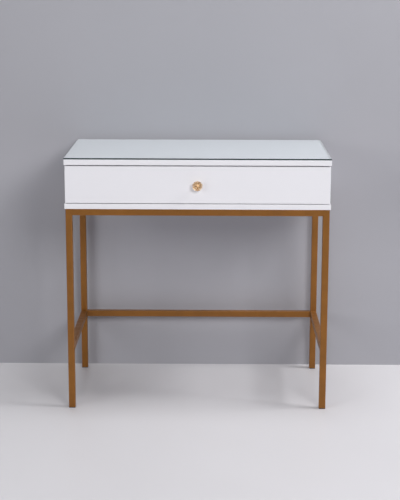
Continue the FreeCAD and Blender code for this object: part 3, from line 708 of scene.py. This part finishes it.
@dataclass(frozen=True)
class RawBeech:
    """Unfinished beech, whose grain runs along Z, with the short dark flecks of its rays."""

    slot: str
    pale: Triple
    dark: Triple
    pitch: float = 1.1 * MM
    drawn_out: Triple = (1.0, 1.0, 0.08)
    fleck_span: tuple[float, float] = (0.35, 0.65)
    roughness: tuple[float, float] = (0.6, 0.8)
    relief: float = 0.05 * MM
    pores_to_a_metre: float = 3000.0

    def build(self, effects: Effects) -> Material:
        """Makes the material.

        Args:
            effects: The shared node groups.

        Returns:
            The material, named after its slot.
        """
        recipe = Recipe(f"{self.slot}_finish")
        along = recipe.mapped(Scale=self.drawn_out)
        flecks = recipe.noise(along, 1 / self.pitch, 4.0, distortion=0.4)
        ramp = recipe.node("ValToRGB", {"Fac": flecks})
        for stop, position, color in zip(ramp.color_ramp.elements, self.fleck_span, (self.dark, self.pale)):
            stop.position, stop.color = position, (*color, 1.0)
        grain = recipe.effect(effects.grain, Vector=along, Scale=self.pores_to_a_metre)
        return recipe.show(recipe.node("BsdfPrincipled", {
            "Base Color": ramp.outputs[0], "Normal": recipe.bump(grain.outputs["Height"], self.relief),
            "Roughness": recipe.ranged(grain.outputs["Patches"], (0.0, 1.0), self.roughness),
        }))


@dataclass(frozen=True)
class GiltAndPaintedLight:
    """Gilt fired on the crystal's back facets, which gives its warm heart.

    It comes in a lit and a shaded copy, painted highlight and painted shade, and as a pale painted light.
    """

    name: str
    color: Triple
    metallic: float = 0.75
    roughness: tuple[float, float] = (0.30, 0.38)
    relief: float = 0.004 * MM
    drift: float = 0.10
    clouds_to_a_metre: float = 220.0
    grains_to_a_metre: float = 1800.0

    def build(self, effects: Effects) -> Material:
        """Makes the material.

        Args:
            effects: The shared node groups.

        Returns:
            The material.
        """
        recipe = Recipe(f"{self.name}_finish")
        tone = recipe.effect(effects.drift, Vector=recipe.place, Color=(*self.color, 1.0),
                             Scale=self.clouds_to_a_metre, Amount=self.drift)
        grain = recipe.effect(effects.grain, Vector=recipe.place, Scale=self.grains_to_a_metre)
        return recipe.show(recipe.node("BsdfPrincipled", {
            "Base Color": tone.outputs[0], "Metallic": self.metallic,
            "Normal": recipe.bump(grain.outputs["Height"], self.relief),
            "Roughness": recipe.ranged(grain.outputs["Patches"], (0.0, 1.0), self.roughness),
        }))


class Facet(Enum):
    """The material zones of the crystal's facets."""

    CLEAR = 0
    # BRIGHT and DEEP: a lit and a shaded copy of one gilt, painted highlight and painted shade
    BRIGHT = 1
    DEEP = 2
    # PALE: painted light, pale as the white front seen through clear facets
    PALE = 3


# one gilt as painted highlight and painted shade, and a pale painted light
GILT_AND_PAINTED_LIGHT = {
    Facet.BRIGHT: GiltAndPaintedLight("bright_foil", (0.95, 0.72, 0.45)),
    Facet.DEEP: GiltAndPaintedLight("deep_foil", (0.42, 0.19, 0.06)),
    Facet.PALE: GiltAndPaintedLight("pale_foil", (0.98, 0.93, 0.85), metallic=0.0),
}


def all_finishes() -> list[Coat | Clear | TurnedBrass | RawBeech]:
    """Every finish on the table but those on the crystal's back facets.

    Returns:
        One finish for each material slot of the record, and one for the glass's edges.
    """
    knob_low, knob_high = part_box("knob_base")
    knob_centre = ((knob_low.x + knob_high.x) / 2, 0.0, (knob_low.z + knob_high.z) / 2)
    return [
        # its lighter arris colour is a painted highlight along the rounded edges
        Coat("white_lacquer", (0.87, 0.862, 0.90), 0.32, gloss=0.15, grain=1.6 * MM, relief=0.001 * MM,
             patchy=0.012, drift=0.004, drift_size=0.30, edge_wear_and_glint_color=(0.93, 0.93, 0.94), edge_wear_and_glint=0.5,
             dusty=0.01),
        Coat("drawer_white", (0.71, 0.71, 0.715), 0.48, grain=0.5 * MM, relief=0.02 * MM, drift=0.015,
             edge_wear_and_glint_color=(0.62, 0.58, 0.52), edge_wear_and_glint=0.3, dusty=0.05),
        Coat("frame_paint", (0.258, 0.101, 0.013), 0.42, metallic=0.35, grain=0.7 * MM, relief=0.012 * MM,
             patchy=0.08, drift=0.10, drift_size=0.06, edge_wear_and_glint_color=(0.36, 0.16, 0.04), edge_wear_and_glint=0.7, dusty=0.05),
        Clear("clear_glass", 1.52, shade=(0.933, 0.945, 0.950), density=9.0, ripple=0.002 * MM, shine=0.35,
              flat=True),
        # the glass's green edge darkened into painted shade, with a lighter painted glint on its arrises
        Coat("glass_edge", (0.004, 0.018, 0.017), 0.30, grain=2.5 * MM, relief=0.004 * MM, patchy=0.04,
             drift=0.10, drift_size=0.03, edge_wear_and_glint_color=(0.01, 0.035, 0.032), edge_wear_and_glint=0.4, dusty=0.01),
        Clear("crystal", 1.56, shade=(0.93, 0.90, 0.85)),
        TurnedBrass("brass", (0.80, 0.55, 0.26), knob_centre),
        Coat("zinc_steel", (0.66, 0.67, 0.70), 0.30, metallic=1.0, grain=0.4 * MM, relief=0.006 * MM,
             patchy=0.10, drift=0.10, drift_size=0.012),
        Coat("runner_zinc", (0.60, 0.62, 0.65), 0.34, metallic=1.0, grain=0.9 * MM, relief=0.006 * MM,
             lie=(1.0, 0.04, 1.0), patchy=0.08, drift=0.08, drift_size=0.04),
        Coat("cast_zinc", (0.48, 0.48, 0.50), 0.50, metallic=0.9, grain=0.35 * MM, relief=0.03 * MM,
             drift=0.06, drift_size=0.01),
        Coat("ball_steel", (0.76, 0.77, 0.79), 0.10, metallic=1.0, grain=0.5 * MM, relief=0.001 * MM,
             patchy=0.03, drift=0.03, drift_size=0.01),
        RawBeech("beech", (0.62, 0.43, 0.27), (0.44, 0.28, 0.16)),
        Coat("foot_plastic", (0.030, 0.026, 0.022), 0.52, grain=0.4 * MM, relief=0.03 * MM, drift=0.08,
             drift_size=0.01, edge_wear_and_glint_color=(0.10, 0.09, 0.08), edge_wear_and_glint=0.6),
        Coat("cage_plastic", (0.72, 0.72, 0.68), 0.42, grain=0.6 * MM, relief=0.01 * MM, drift=0.03,
             drift_size=0.02),
        Clear("clear_pad", 1.41, roughness=0.12, shade=(0.96, 0.97, 0.97)),
    ]


class Wardrobe:
    """All the materials, and the way to put one on a piece."""

    def __init__(self) -> None:
        """Builds the effects and every finish."""
        effects = Effects.build()
        self.materials = {finish.slot: finish.build(effects) for finish in all_finishes()}
        # the crystal's gilt with painted highlight and painted shade, and its pale painted light
        self.gilt_and_light_materials = [gilt_and_light.build(effects) for gilt_and_light in GILT_AND_PAINTED_LIGHT.values()]
        self.slot_of = {part["node"]: part["material_slot"] for part in frame["record"]["subparts"]}

    def dress_nodes(self) -> None:
        """Gives every CAD node the finish of its slot."""
        for node, obj in frame["nodes"].items():
            obj.data.materials.clear()
            obj.data.materials.append(self.materials[self.slot_of[node]])

    def install(self, piece: Object, body: str, node: str) -> Object:
        """Puts a finished piece in the place of a CAD node, with its slot's finish.

        Args:
            piece: The new piece.
            body: The body that it rides on.
            node: The node that it stands for.

        Returns:
            The piece.
        """
        slot = self.slot_of[node]
        piece.data.materials.append(self.materials[slot])
        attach(piece, body)
        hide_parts(node)
        LOG.info("%s stands for %s", piece.name, node)
        return piece


# ---- the table's sub-assemblies ----


@dataclass
class Boards:
    """Lacquered boards that show whole, with eased edges."""

    wardrobe: Wardrobe
    arris: float = 1.0 * MM
    corner: float = 1.4 * MM

    def board(self, node: str, body: str) -> None:
        """One board.

        Args:
            node: The node that it stands for.
            body: The body that it rides on.
        """
        shell = Shell()
        slab(shell, *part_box(node), self.corner, self.arris)
        self.wardrobe.install(shell.piece(f"{node}_board"), body, node)


@dataclass
class Case(Boards):
    """The boards that close the case above and below."""

    def build(self) -> None:
        """Makes both boards."""
        for node in ("top_panel", "bottom_panel"):
            self.board(node, "table")


@dataclass
class DrawerFront(Boards):
    """The board that the drawer shows."""

    def build(self) -> None:
        """Makes the front."""
        self.board("drawer_front", "drawer")


@dataclass
class GlassTop:
    """The glass sheet, its edges ground and polished round.

    Light that enters an edge runs the whole depth of the sheet, so the edges look dark green. Their own
    finish, in zone 1, paints that in: the glass's green darkened into painted shade, with a painted
    glint on the arrises.
    """

    wardrobe: Wardrobe
    arris: float = 0.25 * MM
    corner: float = 2.0 * MM

    def build(self) -> None:
        """Makes the sheet."""
        shell = Shell()
        slab(shell, *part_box("glass_top"), self.corner, self.arris, edge_zone=1)
        piece = self.wardrobe.install(shell.piece("glass_top_sheet"), "table", "glass_top")
        # zone 1: the edges' dark green with painted shade and glint
        piece.data.materials.append(self.wardrobe.materials["glass_edge"])


@dataclass
class SoftDots:
    """Clear silicone dots: slim pads under the glass, and bumpers where the drawer's front lands.

    Each is a turned disc with a soft shoulder, a hair clear of what it lies between, so that no two faces
    meet. The profile is in shares of the disc's radius and height.
    """

    wardrobe: Wardrobe
    pad_radius: float = 5.0 * MM
    bumper_radius: float = 4.0 * MM
    hair: float = 0.03 * MM
    shoulder: float = 0.3 * MM
    sides: int = 24
    profile: Profile = ((0.2, 0.0), (0.9, 0.0), (1.0, 0.2), (0.92, 0.8), (0.75, 1.0), (0.2, 1.0))

    def build(self) -> None:
        """Makes the pads and the bumpers."""
        self.dots("glass_pads", Axis.Z, self.pad_radius, columns=3)
        self.dots("front_bumpers", Axis.FRONT, self.bumper_radius, columns=2)

    def dots(self, node: str, axis: Axis, radius: float, columns: int) -> None:
        """Two rows of equal dots that fill a node's box.

        Args:
            node: The node that they stand for.
            axis: The direction of their thickness.
            radius: Their radius.
            columns: How many are in a row.
        """
        low, high = axis.box(node)
        rise = high[2] - low[2] - 2 * self.hair
        profile = eased(np.array(self.profile) * np.array([radius, rise]), self.shoulder)
        shell = Shell()
        for across in np.linspace(low[0] + radius, high[0] - radius, columns):
            for along in (low[1] + radius, high[1] - radius):
                foot = axis.placed(np.array([across, along, low[2] + self.hair]))
                turned(shell, profile, axis, foot, self.sides)
        self.wardrobe.install(shell.piece(f"{node}_dots"), "table", node)


@dataclass
class SteelFrame:
    """Square tubes welded into a frame, ground flush outside and left with a bead in each inner corner."""

    wardrobe: Wardrobe
    corner: float = 2.0 * MM
    wall: float = 1.5 * MM
    foot_lip: float = 2.0 * MM
    foot_arris: float = 0.4 * MM
    stem_slack: float = 0.2 * MM
    bead: float = 2.2 * MM
    bead_pitch: float = 1.9 * MM
    bead_root: float = 0.3 * MM
    ripple: float = 0.05
    bead_steps: int = 41
    turn_steps: int = 6

    def __post_init__(self) -> None:
        """Reads where the legs stand and how thick the tube is."""
        self.legs = {
            (across, deep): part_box(f"{end}_{side}_leg")
            for end, deep in (("front", -1), ("back", 1))
            for side, across in (("left", -1), ("right", 1))
        }
        low, high = self.legs[-1, -1]
        self.half = (high.x - low.x) / 2
        self.outline = RoundedOutline(self.half, self.half, self.corner)

    def build(self) -> None:
        """Makes the legs, the rails between them, the beads in their corners, and the feet."""
        for end in ("front", "back"):
            for side in ("left", "right"):
                self.leg(f"{end}_{side}_leg")
                self.foot(f"{end}_{side}_foot")
        for name in ("front_top_rail", "back_top_rail", "back_stretcher"):
            self.rail(name, Axis.X)
        for name in ("left_top_rail", "right_top_rail", "left_stretcher", "right_stretcher"):
            self.rail(name, Axis.Y)
        self.beads()

    def leg(self, node: str) -> None:
        """One upright tube.

        Args:
            node: The leg that it stands for.
        """
        low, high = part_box(node)
        middle = (low + high) / 2
        shell = Shell()
        tube(shell, self.outline, (low.z, high.z), self.wall, Axis.Z, (middle.x, middle.y, 0))
        self.wardrobe.install(shell.piece(f"{node}_tube"), "table", node)

    def rail(self, node: str, axis: Axis) -> None:
        """One level tube, run into the round of the legs' corners, so that its face is flush with theirs.

        Args:
            node: The rail or stretcher that it stands for.
            axis: The direction that it runs in.
        """
        low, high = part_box(node)
        middle = (low + high) / 2
        front_left, back_right = self.legs[-1, -1], self.legs[1, 1]
        if axis is Axis.X:
            ends = (front_left[1].x - self.corner, back_right[0].x + self.corner)
            origin = (0, middle.y, middle.z)
        else:
            ends = (front_left[1].y - self.corner, back_right[0].y + self.corner)
            origin = (middle.x, 0, middle.z)
        shell = Shell()
        tube(shell, self.outline, ends, self.wall, axis, origin)
        self.wardrobe.install(shell.piece(f"{node}_tube"), "table", node)

    def foot(self, node: str) -> None:
        """A plastic plug: an eased lip on the floor and a hollow stem up inside the leg.

        Args:
            node: The foot that it stands for.
        """
        low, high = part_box(node)
        middle = (low + high) / 2
        shell = Shell()
        slab(shell, low, Vector((high.x, high.y, low.z + self.foot_lip)), self.corner, self.foot_arris)
        inside = self.half - self.wall - self.stem_slack
        stem = RoundedOutline(inside, inside, self.corner - self.foot_arris)
        ends = (low.z + self.foot_lip / 2, high.z)
        tube(shell, stem, ends, self.wall, Axis.Z, (middle.x, middle.y, 0))
        self.wardrobe.install(shell.piece(f"{node}_plug"), "table", node)

    def weld(self, shell: Shell, corner: Vector, along_rail: Vector, along_leg: Vector) -> None:
        """Adds one bead in the corner between two tubes' faces.

        At a place s across the tube, the corner lies deeper by the drop of the tubes' own round edges:
        their radius less the root of its square less the square of how far s is past where the round
        starts. The bead is a hollow quarter circle that touches both faces, and its size swells with a
        cosine of s. Its root lies a little inside the tubes.

        Args:
            shell: What to add it to.
            corner: The corner's middle.
            along_rail: The direction of one tube, away from the corner.
            along_leg: The direction of the other, away from the corner.
        """
        s = np.sin(np.linspace(-np.pi / 2, np.pi / 2, self.bead_steps)) * self.half
        past = np.clip(np.abs(s) - (self.half - self.corner), 0, self.corner)
        drop = (self.corner - np.sqrt(self.corner ** 2 - past ** 2))[:, None]
        size = (self.bead * (1 + self.ripple * np.cos(2 * np.pi * s / self.bead_pitch)))[:, None]
        turn = np.linspace(0, np.pi / 2, self.turn_steps + 1)
        root = np.full((self.bead_steps, 1), -self.bead_root)
        out_rail = np.concatenate([size * (1 - np.sin(turn)), root], 1) - drop
        out_leg = np.concatenate([size * (1 - np.cos(turn)), root], 1) - drop
        across = along_rail.cross(along_leg)
        points = (np.array(corner) + out_rail[..., None] * np.array(along_rail)
                  + out_leg[..., None] * np.array(along_leg) + s[:, None, None] * np.array(across))
        shell.add_closed(points)

    def beads(self) -> None:
        """The beads under the top rails, round the stretchers, and where two tubes meet beside a leg."""
        shell = Shell()
        x, y, z = Vector((1, 0, 0)), Vector((0, 1, 0)), Vector((0, 0, 1))
        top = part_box("front_top_rail")
        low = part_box("back_stretcher")
        for (across, deep), (leg_low, leg_high) in self.legs.items():
            middle = (leg_low + leg_high) / 2
            to_x, to_y = -across * x, -deep * y
            face_x = middle.x - across * self.half
            face_y = middle.y - deep * self.half
            levels = [(top[0].z, -z, True), (low[0].z, -z, deep > 0), (low[1].z, z, deep > 0)]
            for height, way, wide in levels:
                self.weld(shell, Vector((middle.x, face_y, height)), to_y, way)
                if wide:
                    self.weld(shell, Vector((face_x, middle.y, height)), to_x, way)
            for rail_low, rail_high in (top, low) if deep > 0 else (top,):
                self.weld(shell, Vector((face_x, face_y, (rail_low.z + rail_high.z) / 2)), to_x, to_y)
        piece = shell.piece("frame_weld_beads")
        piece.data.materials.append(self.wardrobe.materials["frame_paint"])
        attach(piece, "table")
        LOG.info("%s made", piece.name)


@dataclass
class Knob:
    """A cut crystal on a turned brass seat.

    The rings' radii are shares of the girdle's, and their heights and the dimple's are shares of the
    crystal's length. The seat's profile is in shares of its cup's radius and of its own length.
    """

    wardrobe: Wardrobe
    sides: int = 10
    bevel: float = 0.12 * MM
    bevel_segments: int = 2
    bevel_angle: float = math.radians(8)
    dimple: float = 0.10
    ring_radii: tuple[float, ...] = (0.613, 1.0, 1.0, 0.80, 0.48)
    ring_heights: tuple[float, ...] = (0.006, 0.36, 0.46, 0.76, 1.0)
    ring_turns: tuple[int, ...] = (0, 1, 1, 0, 1)
    seat_ease: float = 0.5 * MM
    seat_profile: Profile = (
        (0.20, 0.0), (0.895, 0.0), (0.895, 0.14), (0.76, 0.26), (0.58, 0.42), (0.58, 0.60), (0.96, 0.86),
        (1.0, 0.88), (1.0, 1.0), (0.20, 1.0),
    )

    def build(self) -> None:
        """Makes the crystal and its seat."""
        self.crystal()
        self.seat()

    def crystal(self) -> None:
        """The faceted head.

        Ring i has one corner per side, at its radius and height, and a ring whose turn is 1 is turned by
        half a side. Two rings with the same turn are joined by quads, and others by triangles that point up
        and down in turn. The back is a shallow star about a centre point. Its rays take a lit and a shaded
        copy of one gilt in turn, painted highlight and painted shade, and the facets round it take a pale
        painted light.
        """
        low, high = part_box("crystal_knob")
        girdle = (high.z - low.z) / 2
        half_side = np.pi / self.sides
        side = np.arange(self.sides)
        turns = np.array(self.ring_turns)
        angle = 2 * half_side * side[None, :] + half_side * turns[:, None]
        radius = girdle * np.array(self.ring_radii)[:, None]
        height = (high.y - low.y) * np.array(self.ring_heights)
        rings = np.stack([radius * np.cos(angle), radius * np.sin(angle)], -1)
        origin = ((low.x + high.x) / 2, high.y, (low.z + high.z) / 2)
        shell = Shell()
        numbers = shell.add_points(Axis.FRONT.placed(stacked(rings, height), origin))
        for level, (under, over) in enumerate(zip(numbers, numbers[1:])):
            # the back cone's facets take the pale painted light
            zone = (Facet.PALE if level == 0 else Facet.CLEAR).value
            under_next, over_next = np.roll(under, -1), np.roll(over, -1)
            if turns[level] == turns[level + 1]:
                shell.add_faces(np.stack([under, under_next, over_next, over], -1), zone)
            elif turns[level] < turns[level + 1]:
                shell.add_faces(np.stack([under, under_next, over], -1), zone)
                shell.add_faces(np.stack([under_next, over_next, over], -1), zone)
            else:
                shell.add_faces(np.stack([under, over_next, over], -1), zone)
                shell.add_faces(np.stack([under, under_next, over_next], -1), zone)
        dimple = np.array([[0, 0, self.dimple * (high.y - low.y)]])
        centre = shell.add_points(Axis.FRONT.placed(dimple, origin))
        rays = np.stack([np.roll(numbers[0], -1), numbers[0], np.repeat(centre, self.sides)], -1)
        # alternate rays: painted highlight, then painted shade
        shell.add_faces(rays[0::2], Facet.BRIGHT.value)
        shell.add_faces(rays[1::2], Facet.DEEP.value)
        shell.add_faces(numbers[-1:])
        piece = shell.piece("crystal_knob_cut", smooth=False)
        polish = piece.modifiers.new("polished_arrises", "BEVEL")
        polish.width, polish.segments = self.bevel, self.bevel_segments
        polish.limit_method, polish.angle_limit = "ANGLE", self.bevel_angle
        self.wardrobe.install(piece, "drawer", "crystal_knob")
        # zones 1 to 3: painted highlight, painted shade and pale painted light
        for gilt_and_light in self.wardrobe.gilt_and_light_materials:
            piece.data.materials.append(gilt_and_light)

    def seat(self) -> None:
        """The brass seat: a foot, a waist and a cup that holds the crystal."""
        low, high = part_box("knob_base")
        size = np.array([(high.x - low.x) / 2, high.y - low.y])
        origin = ((low.x + high.x) / 2, high.y, (low.z + high.z) / 2)
        shell = Shell()
        turned(shell, eased(np.array(self.seat_profile) * size, self.seat_ease), Axis.FRONT, origin)
        self.wardrobe.install(shell.piece("knob_base_turning"), "drawer", "knob_base")


# ---- the studio ----


@dataclass(frozen=True)
class Backdrop:
    """A plain sheet of floor or wall, seen only from its front, so that it never hides the table."""

    name: str
    color: Triple
    roughness: float
    corners: tuple[Triple, ...]
    blocks_lamps: bool = True
    clouds_to_a_metre: float = 1.5
    level: tuple[float, float] = (0.98, 1.02)

    def build(self) -> None:
        """Makes the sheet and its material, and leaves it out of the object."""
        mesh = bpy.data.meshes.new(self.name)
        mesh.from_pydata(self.corners, [], [tuple(range(len(self.corners)))])
        obj = bpy.data.objects.new(self.name, mesh)
        bpy.context.scene.collection.objects.link(obj)
        recipe = Recipe(f"{self.name}_finish")
        clouds = recipe.noise(recipe.place, self.clouds_to_a_metre, 3.0)
        level = recipe.ranged(clouds, NOISE_SPAN, self.level)
        tone = recipe.node("VectorMath", {0: self.color, "Scale": level}, operation="SCALE")
        shader = recipe.node("BsdfPrincipled", {"Base Color": tone.outputs[0], "Roughness": self.roughness})
        behind = recipe.node("NewGeometry").outputs["Backfacing"]
        clear = recipe.node("BsdfTransparent")
        mesh.materials.append(recipe.show(recipe.node("MixShader", {
            0: behind, 1: shader.outputs[0], 2: clear.outputs[0],
        })))
        obj.visible_shadow = self.blocks_lamps


@dataclass(frozen=True)
class Lamp:
    """A square softbox that looks at the table. An unmirrored one leaves no patch of glare in the glass."""

    name: str
    place: Triple
    size: float
    power: float
    mirrored: bool = True

    def build(self, target: Vector) -> None:
        """Makes the lamp.

        Args:
            target: The point that it is turned to.
        """
        light = bpy.data.lights.new(self.name, "AREA")
        light.shape, light.size, light.energy = "SQUARE", self.size, self.power
        obj = bpy.data.objects.new(self.name, light)
        bpy.context.scene.collection.objects.link(obj)
        obj.location = self.place
        obj.visible_glossy = self.mirrored
        obj.rotation_euler = (target - Vector(self.place)).to_track_quat("-Z", "Y").to_euler()


@dataclass(frozen=True)
class Viewpoint:
    """The camera, a little above the table's top and well in front of it, with its angles in degrees."""

    place: Triple = (0.0438, -4.1624, 1.3420)
    lens: float = 96.47
    yaw: float = -0.5203
    down: float = 11.990
    roll: float = 0.148

    def build(self) -> None:
        """Makes the camera and hands it to the scene.

        It looks along +Y turned by the yaw, then tips down, then rolls about its own line of sight.
        """
        yaw, down, roll = (math.radians(angle) for angle in (self.yaw, self.down, self.roll))
        level = Vector((math.sin(yaw), math.cos(yaw), 0))
        right = Vector((math.cos(yaw), -math.sin(yaw), 0))
        up = Vector((0, 0, 1))
        sight = level * math.cos(down) - up * math.sin(down)
        over = level * math.sin(down) + up * math.cos(down)
        axis_x = right * math.cos(roll) + over * math.sin(roll)
        axis_y = over * math.cos(roll) - right * math.sin(roll)
        data = bpy.data.cameras.new("camera")
        data.lens = self.lens
        camera = bpy.data.objects.new("camera", data)
        bpy.context.scene.collection.objects.link(camera)
        turn = Matrix((axis_x, axis_y, -sight)).transposed()
        camera.matrix_world = Matrix.Translation(self.place) @ turn.to_4x4()
        bpy.context.scene.camera = camera


@dataclass
class Studio:
    """Floor, wall, lamps and sky round the table."""

    gap_behind: float = 0.027
    reach: float = 6.0
    wall_height: float = 4.0
    sky: Triple = (0.90, 0.93, 1.0)
    sky_level: float = 0.06

    def build(self) -> None:
        """Makes them all."""
        low, high = CAD_BOX
        wall = high.y + self.gap_behind
        reach, top = self.reach, self.wall_height
        Backdrop("floor", (0.60, 0.59, 0.612), 0.45, (
            (-reach, -reach, 0), (reach, -reach, 0), (reach, reach, 0), (-reach, reach, 0),
        )).build()
        Backdrop("wall", (0.400, 0.398, 0.432), 0.85, (
            (-reach, wall, 0), (reach, wall, 0), (reach, wall, top), (-reach, wall, top),
        ), blocks_lamps=False).build()
        middle = (low + high) / 2
        for lamp in (
            Lamp("key", (1.25, -3.4, 2.1), 1.2, 58.0),
            Lamp("side", (2.8, -0.45, 3.2), 1.2, 88.0),
            Lamp("fill", (-2.5, -2.95, 1.4), 1.4, 33.0),
            Lamp("overhead", (0.0, -0.35, 4.4), 1.6, 58.0, mirrored=False),
            Lamp("behind", (-0.6, 3.6, 2.2), 2.4, 42.0),
        ):
            lamp.build(middle)
        world = bpy.data.worlds.new("sky")
        bpy.context.scene.world = world
        world.use_nodes = True
        background = world.node_tree.nodes["Background"]
        background.inputs["Color"].default_value = (*self.sky, 1.0)
        background.inputs["Strength"].default_value = self.sky_level
        bpy.context.scene.view_settings.view_transform = "Standard"
        Viewpoint().build()


def main() -> None:
    """Builds the table's looks and the studio round it."""
    logging.basicConfig(level=logging.INFO, format="%(name)s: %(message)s")
    Studio().build()
    wardrobe = Wardrobe()
    wardrobe.dress_nodes()
    for assembly in (Case, GlassTop, SoftDots, SteelFrame, DrawerFront, Knob):
        assembly(wardrobe).build()


if __name__ == "__main__":
    main()
